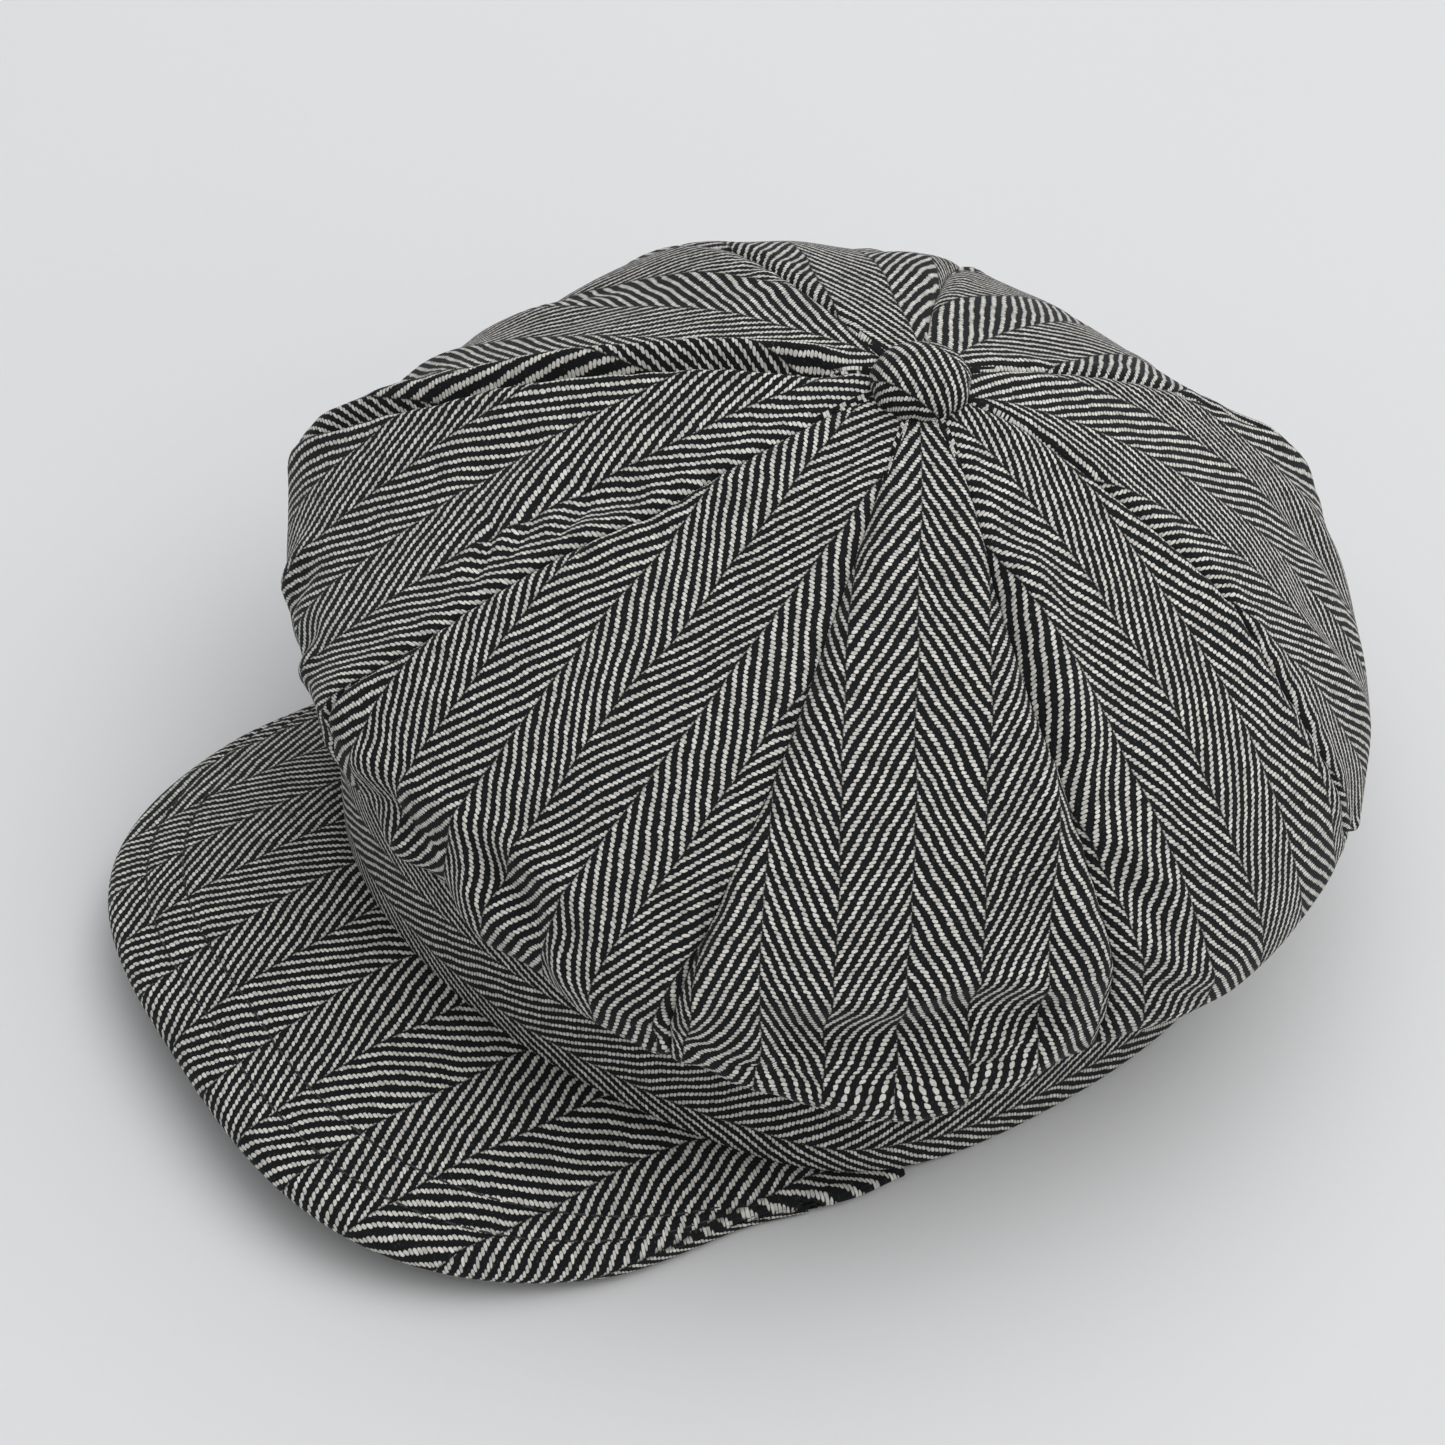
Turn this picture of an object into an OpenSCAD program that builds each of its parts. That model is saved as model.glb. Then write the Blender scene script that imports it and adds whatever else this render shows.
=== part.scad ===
// Eight-gore newsboy cap: crown of eight cloth gores, covered top button,
// head band, stiffened peak, full lining and sweatband.
// The cap stands as it lies on a table: the back of the band and the two
// sides of the peak rest on z = 0, +Z is up, the peak points to -Y and
// +X is the wearer's left. The origin is the middle of the head opening.

/* [Head band] */
// Half width of the head band, side to side
band_half_width = 86.4; // [80:0.2:92]
// Half length of the head band, front to back
band_half_length = 100.8; // [94:0.2:107]
// Height of the band cloth
band_height = 32; // [28:0.5:36]
// How far the lower edge of the band is lifted at the middle of the front
band_front_rise = 30; // [24:0.5:34]
// Angle from the front at which the lifted edge is back on the table
band_rise_span = 84; // [78:1:90]

/* [Crown] */
// Height of the crown cloth under the button
crown_height = 117; // [108:1:124]
// How far the button sits behind the middle of the band
button_back = 19.5; // [10:0.5:26]
// Turn of the crown seams about the vertical, seen from above
crown_twist = -4; // [-6:1:6]
// Reach of the front seam ridge from the middle
reach_front = 106; // [104:0.5:112]
// Reach of the two front side ridges
reach_front_side = 115; // [108:0.5:122]
// Reach of the two side ridges
reach_side = 108; // [102:0.5:116]
// Reach of the two back side ridges
reach_back_side = 112; // [106:0.5:120]
// Reach of the back ridge
reach_back = 117; // [112:0.5:124]
// Height of the widest point on the front ridge
wide_front = 80; // [76:0.5:86]
// Height of the widest point on the front side ridges
wide_front_side = 65; // [60:0.5:70]
// Height of the widest point on the side ridges
wide_side = 48; // [45:0.5:54]
// Height of the widest point on the back side ridges
wide_back_side = 42; // [40:0.5:50]
// Height of the widest point on the back ridge
wide_back = 40; // [39:0.5:48]
// How far each gore puffs out between its ridges, as a share of its reach
gore_puff = 0.05; // [0.03:0.005:0.06]
// How far each gore hangs below its ridges at the widest line
gore_drop = 4; // [1:0.5:5]

/* [Peak] */
// Half width of the peak
peak_half_width = 85; // [83:0.5:90]
// How far the peak projects in front of the band
peak_length = 46; // [38:1:56]
// Squareness of the outline, 2 is an ellipse
peak_square = 3; // [2.4:0.1:3.4]
// Height of the front edge's underside above the table
peak_front_lift = 13; // [8:0.5:18]
// Thickness of the whole peak
peak_thickness = 4; // [3.6:0.1:4.4]
// Rise of the peak's middle above a straight line from band to edge
peak_camber = 2; // [0:0.5:4]
// Gap between the band and the root of the peak, which lets the peak bend
peak_root_gap = 2.6; // [2.4:0.1:3]
// Distance of the first row of stitching from the edge, and of the second from the first
stitch_pitch = 7.5; // [6:0.5:9]

/* [Cloth] */
// Thickness of the outer cloth
cloth = 1.2; // [1:0.1:1.5]
// Thickness of the lining
lining = 0.6; // [0.5:0.1:0.8]
// Depth of the lining inside the outer face of the crown
lining_inset = 3.4; // [3:0.1:4]

/* [Button] */
// Diameter of the covered button
button_d = 19.5; // [17:0.5:24]
// Height of the covered button
button_h = 7; // [6:0.5:8]

/* [Hidden] */
$fn = 48;
seam_gap = 0.0025;     // share of a gore's width left open at each seam
rows_up = 10;          // rows from the button to the widest line
rows_down = 3;         // rows from the widest line to the band
cols = 6;              // columns across a gore
top_start = 0.05;      // where the gores begin beside the button

// Seam ridges in order round the crown, from the front towards the wearer's left.
ridge_turn  = [0, 49, 91, 134, 180, 226, 269, 311, 360];
ridge_reach = [reach_front, reach_front_side, reach_side, reach_back_side, reach_back,
               reach_back_side, reach_side, reach_front_side, reach_front];
ridge_wide  = [wide_front, wide_front_side, wide_side, wide_back_side, wide_back,
               wide_back_side, wide_side, wide_front_side, wide_front];
// Roundness of each ridge's profile, 2 is a quarter ellipse.
ridge_round = [1.7, 1.6, 2.0, 1.7, 1.6, 1.7, 2.0, 1.6, 1.7];

function mix(a, b, w) = a + (b - a) * w;
function around(t, r) = [r * sin(t), -r * cos(t)];
function wrapped(t) = t > 180 ? t - 360 : t;

// Lower edge of the band at angle t from the front.
function band_low(t) = abs(wrapped(t)) >= band_rise_span ? 0
    : band_front_rise * pow(cos(90 * wrapped(t) / band_rise_span), 2);
function band_at(t, inset) = [(band_half_width - inset) * sin(t),
                              -(band_half_length - inset) * cos(t)];

// Outer surface of gore k: w runs across it, s from the button (0) over the
// widest line (1) down to the band (2), inset moves it inwards.
function ridge_xy(k, inset) = around(ridge_turn[k] + crown_twist, ridge_reach[k] - inset);
function bow(w) = 4 * w * (1 - w);
function rim_xy(k, w, inset) = mix(ridge_xy(k, inset), ridge_xy(k + 1, inset), w)
    * (1 + gore_puff * bow(w));
function rim_z(k, w) = mix(ridge_wide[k], ridge_wide[k + 1], w) - gore_drop * bow(w);
function gore_turn(k, w) = mix(ridge_turn[k], ridge_turn[k + 1], w) + crown_twist;
function upper(c, z, m, s, inset) = let (b = [0, button_back],
    r = pow(sin(90 * s), 2 / m), h = pow(cos(90 * s), 2 / m), p = b + (c - b) * r)
    [p[0], p[1], z + (crown_height - inset - z) * h];
function lower(c, z, t, s, inset) = let (e = band_at(t, inset), q = 90 * (s - 1),
    drop = z - (band_low(t) + band_height + 0.4) - inset, p = e + (c - e) * cos(q))
    [p[0], p[1], z - drop * sin(q)];
function crown_at(k, w, s, inset) = let (c = rim_xy(k, w, inset), z = rim_z(k, w),
    m = mix(ridge_round[k], ridge_round[k + 1], w))
    s <= 1 ? upper(c, z, m, s, inset) : lower(c, z, gore_turn(k, w), s, inset);

gore_s = concat([for (i = [0 : rows_up]) top_start + (1 - top_start) * i / rows_up],
                [for (i = [1 : rows_down]) 1 + i / rows_down]);
gore_w = [for (j = [0 : cols]) mix(seam_gap, 1 - seam_gap, j / cols)];
function gore_sheet(k, inset) = [for (s = gore_s) [for (w = gore_w) crown_at(k, w, s, inset)]];

// Two matching sheets of points closed into one solid; ring joins the first row to the last.
function flat(l) = [for (a = l) for (b = a) b];
function tri(a, b, c, d, turned) = turned ? [[a, c, b], [a, d, c]] : [[a, b, c], [a, c, d]];
module cloth_between(outer, inner, ring = false) {
    nr = len(outer);
    nc = len(outer[0]);
    n = nr * nc;
    last = ring ? nr - 1 : nr - 2;
    function at(i, j) = (i % nr) * nc + j;
    faces = concat(
        flat([for (i = [0 : last]) for (j = [0 : nc - 2])
            tri(at(i, j), at(i, j + 1), at(i + 1, j + 1), at(i + 1, j), false)]),
        flat([for (i = [0 : last]) for (j = [0 : nc - 2])
            tri(n + at(i, j), n + at(i, j + 1), n + at(i + 1, j + 1), n + at(i + 1, j), true)]),
        flat([for (i = [0 : last])
            tri(at(i, 0), at(i + 1, 0), n + at(i + 1, 0), n + at(i, 0), false)]),
        flat([for (i = [0 : last])
            tri(at(i, nc - 1), at(i + 1, nc - 1), n + at(i + 1, nc - 1), n + at(i, nc - 1), true)]),
        ring ? [] : flat([for (j = [0 : nc - 2])
            tri(at(0, j), at(0, j + 1), n + at(0, j + 1), n + at(0, j), true)]),
        ring ? [] : flat([for (j = [0 : nc - 2])
            tri(at(nr - 1, j), at(nr - 1, j + 1), n + at(nr - 1, j + 1), n + at(nr - 1, j), false)]));
    polyhedron(points = concat(flat(outer), flat(inner)), faces = faces, convexity = 8);
}

module gore(k) {
    color([0.34, 0.34, 0.34]) cloth_between(gore_sheet(k, 0), gore_sheet(k, cloth));
}
module lining_gore(k) {
    color([0.07, 0.07, 0.08])
        cloth_between(gore_sheet(k, lining_inset), gore_sheet(k, lining_inset + lining));
}
module gore_front_left()   { gore(0); }
module gore_left_front()   { gore(1); }
module gore_left_back()    { gore(2); }
module gore_back_left()    { gore(3); }
module gore_back_right()   { gore(4); }
module gore_right_back()   { gore(5); }
module gore_right_front()  { gore(6); }
module gore_front_right()  { gore(7); }
module lining_front_left()  { lining_gore(0); }
module lining_left_front()  { lining_gore(1); }
module lining_left_back()   { lining_gore(2); }
module lining_back_left()   { lining_gore(3); }
module lining_back_right()  { lining_gore(4); }
module lining_right_back()  { lining_gore(5); }
module lining_right_front() { lining_gore(6); }
module lining_front_right() { lining_gore(7); }

// A strip that runs round the head, between two insets and two heights above the band's edge.
band_steps = 60;
function strip(inset, low, high) = [for (i = [0 : band_steps - 1]) let (t = 360 * i / band_steps,
    p = band_at(t, inset), z = band_low(t)) [[p[0], p[1], z + low], [p[0], p[1], z + high]]];
module band_strip(outer, inner, low, high) {
    cloth_between(strip(outer, low, high), strip(inner, low, high), ring = true);
}
module band_cloth()       { color([0.34, 0.34, 0.34]) band_strip(0, cloth, 0, band_height); }
module band_interfacing() { color([0.85, 0.84, 0.80]) band_strip(1.5, 2.2, 1, band_height - 1); }
module sweatband()        { color([0.06, 0.06, 0.06]) band_strip(2.5, 3.5, 0.4, band_height - 1.5); }

// Peak: u runs from the right temple (-1) to the left one (1), v from the root to the edge.
root_turn = 72;        // angle from the front at which the root ends
peak_cols = 28;
peak_rows = 6;
end_share = 0.93;      // the outline is cut off here so that its ends stay wide
function superlobe(x) = sign(x) * pow(abs(x), 2 / peak_square);
function peak_root(u) = band_at(root_turn * u, -peak_root_gap);
function peak_edge(u) = let (a = 90 * u * end_share, base = -band_half_length * cos(root_turn) + 6,
    tip = -band_half_length - peak_length)
    [peak_half_width * superlobe(sin(a)) + sign(u) * 1.2 * pow(abs(u), 8),
     base + (tip - base) * superlobe(cos(a))];
function peak_root_z(u) = max(band_low(root_turn * u), peak_thickness);
function peak_edge_z(u) = peak_thickness + peak_front_lift * pow(cos(90 * u), 2);
function peak_top(u, v) = let (a = peak_root(u), b = peak_edge(u), p = mix(a, b, v))
    [p[0], p[1], mix(peak_root_z(u), peak_edge_z(u), v) + peak_camber * 4 * v * (1 - v) * cos(80 * u)];
function peak_sheet(down, v0, v1, us) = [for (u = us)
    [for (j = [0 : peak_rows]) let (p = peak_top(u, mix(v0, v1, j / peak_rows)))
        [p[0], p[1], p[2] - down]]];
function spread(a, n) = [for (i = [0 : n]) mix(-a, a, i / n)];
module peak_layer(top, bottom, v0, v1, a) {
    cloth_between(peak_sheet(bottom, v0, v1, spread(a, peak_cols)),
                  peak_sheet(top, v0, v1, spread(a, peak_cols)));
}
module peak_top_cloth()   { color([0.34, 0.34, 0.34]) peak_layer(0, 1, 0, 1, 1); }
module peak_board()       { color([0.90, 0.89, 0.84]) peak_layer(1.1, peak_thickness - 1.1, 0.03, 0.96, 0.97); }
module peak_under_cloth() { color([0.34, 0.34, 0.34]) peak_layer(peak_thickness - 1, peak_thickness, 0, 1, 1); }
// Two rows of stitching that follow the edge.
function stitch_row(inset, half, up) = [for (u = spread(0.86, 40))
    let (w = norm(peak_edge(u) - peak_root(u)), a = peak_top(u, 1 - (inset + half) / w),
         b = peak_top(u, 1 - (inset - half) / w)) [[a[0], a[1], a[2] + up], [b[0], b[1], b[2] + up]]];
module stitch_line(inset) { cloth_between(stitch_row(inset, 0.25, 0.05), stitch_row(inset, 0.25, 0.4)); }
module peak_stitching() { color([0.12, 0.12, 0.12]) for (i = [1, 2]) stitch_line(i * stitch_pitch); }

// Covered button: cloth over a pressed metal dome, a back plate with its shank, and the thread.
button_r = button_d / 2;
module at_button(up) { translate([0, button_back, crown_height + up]) children(); }
function dome(r, h) = [for (i = [0 : 10]) [r * cos(9 * i), h * pow(sin(9 * i), 0.8)]];
module dome_shell(r, h, t) {
    rotate_extrude() polygon(concat([[r, -0.0]], [for (p = dome(r, h)) p],
        [for (i = [10 : -1 : 0]) let (p = dome(r - t, h - t)[i]) p]));
}
module button_cloth() { color([0.34, 0.34, 0.34]) at_button(0.3) dome_shell(button_r, button_h, 1); }
module button_shell() { color([0.72, 0.72, 0.70]) at_button(0.3) dome_shell(button_r - 1.2, button_h - 1.2, 0.6); }
module button_plate() {
    color([0.72, 0.72, 0.70]) at_button(0.3) {
        cylinder(r = button_r - 2.2, h = 0.8);
        translate([0, 0, -4]) cylinder(r = 1.4, h = 4.2);
    }
}
module button_thread() {
    color([0.10, 0.10, 0.10]) at_button(-6.6) difference() {
        union() { cylinder(r = 2.2, h = 6.5); cylinder(r = 3.6, h = 1.4); }
        translate([0, 0, 1.5]) cylinder(r = 1.6, h = 6);
    }
}

gore_front_left();
gore_left_front();
gore_left_back();
gore_back_left();
gore_back_right();
gore_right_back();
gore_right_front();
gore_front_right();
lining_front_left();
lining_left_front();
lining_left_back();
lining_back_left();
lining_back_right();
lining_right_back();
lining_right_front();
lining_front_right();
band_cloth();
band_interfacing();
sweatband();
peak_top_cloth();
peak_board();
peak_under_cloth();
peak_stitching();
button_cloth();
button_shell();
button_plate();
button_thread();
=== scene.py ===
import math

import bpy
import numpy as np
from mathutils import Matrix, Vector


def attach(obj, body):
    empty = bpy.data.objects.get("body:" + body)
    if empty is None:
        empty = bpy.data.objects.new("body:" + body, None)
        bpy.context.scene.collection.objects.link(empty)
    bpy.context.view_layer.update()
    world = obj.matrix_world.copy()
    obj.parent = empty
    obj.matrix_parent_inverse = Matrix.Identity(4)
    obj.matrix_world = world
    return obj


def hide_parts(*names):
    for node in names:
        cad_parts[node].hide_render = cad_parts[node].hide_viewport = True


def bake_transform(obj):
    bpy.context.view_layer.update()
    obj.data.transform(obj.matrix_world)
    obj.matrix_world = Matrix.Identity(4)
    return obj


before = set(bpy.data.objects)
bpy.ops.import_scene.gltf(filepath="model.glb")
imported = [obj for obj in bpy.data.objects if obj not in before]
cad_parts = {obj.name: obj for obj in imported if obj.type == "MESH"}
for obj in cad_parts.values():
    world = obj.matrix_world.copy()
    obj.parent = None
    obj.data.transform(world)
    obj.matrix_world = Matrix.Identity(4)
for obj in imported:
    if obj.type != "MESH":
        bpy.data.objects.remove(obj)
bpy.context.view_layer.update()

# Everything below is worked out in millimetres in the row frame, and scaled on its way into a mesh.
D = math.pi / 180
MM = 0.001

# ------------------------------------------------------------------ the cap's driving surfaces
BX, BY, BH = 86.4, 100.8, 32.0          # head band: half width, half length, height
RISE, SPAN = 30.0, 84.0                 # lift of its lower edge at the front, and where that ends
HIGH, BACK, TWIST = 117.0, 19.5, -4.0   # crown height, button behind the middle, turn of the seams
TURN = np.array([0, 49, 91, 134, 180, 226, 269, 311, 360.0])
REACH = np.array([106, 115, 108, 112, 117, 112, 108, 115, 106.0])
WIDE = np.array([80, 65, 48, 42, 40, 42, 48, 65, 80.0])
ROUND = np.array([1.7, 1.6, 2.0, 1.7, 1.6, 1.7, 2.0, 1.6, 1.7])
PUFF, DROP = 0.05, 4.0
GORES = ["front_left", "left_front", "left_back", "back_left",
         "back_right", "right_back", "right_front", "front_right"]

LATTICE = np.random.RandomState(11).rand(48, 48, 48) * 2 - 1


def noise(p, size, seed=0):
    """Smooth noise from -1 to 1 at points p; size is the distance over which it changes."""
    q = np.asarray(p, float) / size + np.array([13.7, 5.1, 9.3]) * (seed + 1)
    i = np.floor(q).astype(int)
    f = q - i
    f = f * f * f * (f * (f * 6 - 15) + 10)
    out = 0.0
    for a in (0, 1):
        for b in (0, 1):
            for c in (0, 1):
                w = ((f[..., 0] if a else 1 - f[..., 0]) * (f[..., 1] if b else 1 - f[..., 1])
                     * (f[..., 2] if c else 1 - f[..., 2]))
                out = out + w * LATTICE[(i[..., 0] + a) % 48, (i[..., 1] + b) % 48, (i[..., 2] + c) % 48]
    return out


def smooth(x, lo, hi):
    t = np.clip((np.asarray(x, float) - lo) / (hi - lo), 0, 1)
    return t * t * (3 - 2 * t)


def unit(v):
    return v / np.maximum(np.linalg.norm(v, axis=-1, keepdims=True), 1e-9)


def band_low(t):
    t = (np.asarray(t, float) + 180) % 360 - 180
    return np.where(abs(t) >= SPAN, 0, RISE * np.cos(90 * np.clip(t / SPAN, -1, 1) * D) ** 2)


def band_at(t, inset):
    t = np.asarray(t, float) * D
    return np.stack([(BX - inset) * np.sin(t), -(BY - inset) * np.cos(t)], -1)


def crown_at(k, w, s, inset=0.0):
    """Outer face of gore k; w runs across it, s from the button (0) over the widest line (1) to the band (2)."""
    w = np.asarray(w, float) + 0 * np.asarray(s, float)
    s = np.asarray(s, float) + 0 * w

    def ridge(j):
        t = (TURN[j] + TWIST) * D
        return np.array([(REACH[j] - inset) * np.sin(t), -(REACH[j] - inset) * np.cos(t)])

    c = (ridge(k) * (1 - w[..., None]) + ridge(k + 1) * w[..., None]) * (1 + PUFF * 4 * w * (1 - w))[..., None]
    z = WIDE[k] * (1 - w) + WIDE[k + 1] * w - DROP * 4 * w * (1 - w)
    m = ROUND[k] * (1 - w) + ROUND[k + 1] * w
    t = TURN[k] * (1 - w) + TURN[k + 1] * w + TWIST
    q = np.clip(s, 0, 1) * 90 * D
    r, h = np.sin(q) ** (2 / m), np.clip(np.cos(q), 0, 1) ** (2 / m)
    b = np.array([0, BACK])
    up = b + (c - b) * r[..., None]
    zu = z + (HIGH - inset - z) * h
    e = band_at(t, inset)
    q = 90 * np.clip(s - 1, 0, 1) * D
    lo = e + (c - e) * np.cos(q)[..., None]
    zl = z - (z - (band_low(t) + BH + 0.4) - inset) * np.sin(q)
    over = s <= 1
    return np.concatenate([np.where(over[..., None], up, lo), np.where(over, zu, zl)[..., None]], -1)


# Sideways run of each seam, in millimetres towards the next seam, at distances s along it.
SEAM_RUN = [
    [(0, 0), (.08, -3), (.2, -.5), (.37, 2.2), (.5, 0), (.7, .5), (.85, -3.5), (1, -4.5), (1.4, -2), (2, 0)],
    [(0, 0), (.15, .8), (.3, 2), (.49, 3), (.65, 1), (.8, -1.8), (1, -3.6), (1.3, -3.0), (1.6, -1.2), (2, 0)],
    [(0, 0), (.12, 1.2), (.24, -1), (.43, -1.5), (.6, 1), (.75, 2.8), (.9, 5), (1.1, 3), (1.5, 1), (2, 0)],
    [(0, 0), (.15, 2.8), (.3, 1), (.5, 0), (.63, -5), (.8, -5.5), (1, -2), (1.3, 1.5), (2, 0)],
    [(0, 0), (.12, 1.6), (.4, -1), (.7, -4), (1, -2), (1.5, 0), (2, 0)],
    [(0, 0), (.25, 1.5), (.6, .3), (1, 1), (1.5, 0), (2, 0)],
    [(0, 0), (.1, .2), (.25, -3), (.4, -5), (.7, -3), (1, -1), (2, 0)],
    [(0, 0), (.1, -2.3), (.3, -3), (.53, 3), (.9, 2.6), (1.3, 1), (2, 0)],
]


def seam_run(k, s):
    a = np.array(SEAM_RUN[k % 8], float)
    d = np.linspace(0, 2, 201)
    y = np.interp(d, a[:, 0], a[:, 1])
    y = np.convolve(np.pad(y, 10, mode="edge"), np.hanning(21) / np.hanning(21).sum(), mode="valid")
    return np.interp(s, d, y)


# ------------------------------------------------------------------ the grid of the crown
def even_s(step):
    d = np.linspace(0.03, 2, 1500)
    mean = 0
    for k in range(8):
        p = crown_at(k, 0.5, d)
        mean = mean + np.concatenate([[0], np.cumsum(np.linalg.norm(np.diff(p, axis=0), axis=1))]) / 8
    n = int(mean[-1] / step)
    return np.interp(np.linspace(0, mean[-1], n + 1), mean, d)


def w_nodes(n):
    edge = np.array([0, .0045, .009, .015, .0225, .032, .044])
    mid = np.linspace(.044, .956, n)[1:-1]
    return np.concatenate([edge, mid, 1 - edge[::-1]])


def normals_of(P):
    du = np.gradient(P, axis=1)
    dv = np.gradient(P, axis=0)
    return unit(np.cross(dv, du))


# Seams that stand proud of the even crown, or lie below it, and lean over to the left front as they do.
LEAN_TO = np.array([.585, -.356, .729])
LEANS = [(7, 9.0, (2.6, 1.5), (.06, .3), (.72, 1.1)), (0, -4.0, (2, 2), (.15, .45), (.7, 1.0))]

S_ROWS = even_s(1.05)
W_COLS = w_nodes(66)
SS, WW = np.meshgrid(S_ROWS, W_COLS, indexing="ij")


def shifted(k, s, w, inset=0.0):
    P = crown_at(k, w, s, inset)
    for j, share in ((k, 1 - w), (k + 1, w)):
        t = (TURN[j] + TWIST) * D
        P = P + (share * seam_run(j, s))[..., None] * np.array([np.cos(t), np.sin(t), 0])
    lean = np.zeros(np.shape(s + w))
    for j, amount, power, lo, hi in LEANS:
        if k == j % 8:
            share = (1 - w) ** power[1]
        elif k == (j - 1) % 8:
            share = w ** power[0]
        else:
            continue
        lean = lean + amount * share * smooth(s, lo[0], lo[1]) * (1 - smooth(s, hi[0], hi[1]))
    return P + lean[..., None] * LEAN_TO


BASE = [shifted(k, SS, WW) for k in range(8)]
NORM = [normals_of(P) for P in BASE]
SEAM_N = [unit(NORM[(k - 1) % 8][:, -1] + NORM[k][:, 0]) for k in range(8)]


def point_on(k, w, s):
    return shifted(k, np.array([float(s)]), np.array([float(w)]))[0]


# Folds and dents: (kind, gore, [(w, s), ...], reach, height, side, off, height beside).
FOLDS = []


def polyline(points):
    q = []
    for k, w, s in points:
        q.append(point_on(k, w, s))
    q = np.array(q)
    if len(q) > 2:  # a smooth run through the points
        d = np.concatenate([[0], np.cumsum(np.linalg.norm(np.diff(q, axis=0), axis=1))])
        x = np.linspace(0, d[-1], max(8, int(d[-1] / 2)))
        out = np.stack([np.interp(x, d, q[:, i]) for i in range(3)], -1)
        for _ in range(6):
            out[1:-1] = (out[:-2] + 2 * out[1:-1] + out[2:]) / 4
        q = out
    return q


def fold_height(P, N, fold):
    """Height that one fold adds at points P with outward normals N."""
    line, width, height, side, off, width2, height2, fade = fold
    shape = P.shape[:-1]
    p, n = P.reshape(-1, 3), N.reshape(-1, 3)
    out = np.zeros(len(p))
    reach = max(width, abs(off) + width2) * 3
    near = np.ones(len(p), bool)
    lo, hi = line.min(0) - reach, line.max(0) + reach
    near &= ((p > lo) & (p < hi)).all(1)
    if not near.any():
        return out.reshape(shape)
    q, m = p[near], n[near]
    a, b = line[:-1], line[1:]
    ab = b - a
    L = (ab ** 2).sum(1) + 1e-9
    best = np.full(len(q), 1e9)
    x = np.zeros(len(q))
    along = np.zeros(len(q))
    run = np.concatenate([[0], np.cumsum(np.sqrt(L))])
    for i in range(len(a)):
        t = np.clip(((q - a[i]) @ ab[i]) / L[i], 0, 1)
        d = q - (a[i] + ab[i] * t[:, None])
        r = np.sqrt((d ** 2).sum(1))
        sgn = np.sign((np.cross(ab[i], d) * m).sum(1))
        use = r < best
        best[use] = r[use]
        x[use] = (r * sgn)[use]
        along[use] = (run[i] + t * np.sqrt(L[i]))[use]
    total = run[-1]
    ends = smooth(along, 0, fade[0] * total) * (1 - smooth(along, total * (1 - fade[1]), total)) \
        if fade[0] > 0 else 1 - smooth(along, total * (1 - fade[1]), total)
    # beyond the ends the fold dies away with the distance, because x is then the distance to the end
    h = height * np.exp(-(x / width) ** 2) + height2 * np.exp(-((x - side * off) / width2) ** 2)
    out[near] = h * ends
    return out.reshape(shape)


def relief(P, N, s, t):
    """Slack of the cloth that is shared by the crown and its lining: soft hollows, folds and gathers."""
    h = 1.15 * noise(P, 34, 1) + 0.45 * noise(P, 15, 2)
    h = h * smooth(s, .05, .3) * (1 - smooth(s, 1.8, 2))
    # gathers where the cloth is drawn in under the rim
    g = np.sin(t * D * 19 + 2.2 * noise(P * np.array([1, 1, .4]), 30, 3)) * (.6 + .7 * noise(P, 40, 4))
    h = h + 1.5 * g * smooth(s, .95, 1.45) * (1 - smooth(s, 1.75, 2.0))
    for f in FOLDS:
        h = h + fold_height(P, N, f)
    return h


def add_fold(points, width, height, side=1, off=0.0, width2=1.0, height2=0.0, fade=(.2, .2)):
    FOLDS.append((polyline(points), width, height, side, off, width2, height2, fade))


# The ridge of the right front seam stands up, with a deep hollow on its front side.
add_fold([(7, 0, .1), (7, 0, .25), (7, 0, .42), (7, 0, .6), (7, 0, .8), (7, 0, 1.0)], 2.1, -4.6, -1, 3.6, 3.2, 2.3, (.08, .25))
# Two shallow dents in the front right gore.
add_fold([(7, .90, .33), (7, .78, .41), (7, .66, .46)], 6, -1.7, 1, 8, 5, .7, (.3, .3))
add_fold([(7, .30, .44), (7, .42, .50), (7, .50, .56)], 6, -1.6, 1, 8, 5, .6, (.3, .3))
for a, b in (((7, .66, .40), (7, .93, .47)), ((7, .60, .45), (7, .90, .53)), ((7, .64, .51), (7, .92, .58))):
    mid = (7, (a[1] + b[1]) / 2 + .02, (a[2] + b[2]) / 2 - .01)
    add_fold([a, mid, b], 1.5, -1.0, -1, 3.0, 2.0, .8, (.35, .2))
# The left front seam lies in a groove with a soft fold behind it.
add_fold([(1, 0, .17), (1, 0, .3), (1, 0, .45), (1, 0, .6)], 2.4, -1.5, 1, 6.5, 4.6, 1.9, (.2, .3))
add_fold([(1, 0, .5), (1, 0, .7), (1, 0, .9)], 3.0, -.9, 1, 7, 5, .9, (.2, .2))
add_fold([(1, 0, .64), (1, 0, .76), (1, 0, .88), (1, 0, .97)], 1.7, -2.4, 1, 3.8, 3.2, 1.9, (.3, .12))
# The left seam is drawn in, with the cloth behind it rolling over it.
add_fold([(2, 0, .22), (2, 0, .35), (2, 0, .48), (2, .03, .6)], 2.6, -2.3, 1, 6.6, 5.0, 2.7, (.2, .35))
add_fold([(2, 0, .5), (2, 0, .7), (2, 0, .92)], 3.0, -1.0, -1, 7, 5, .8, (.2, .2))
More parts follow.
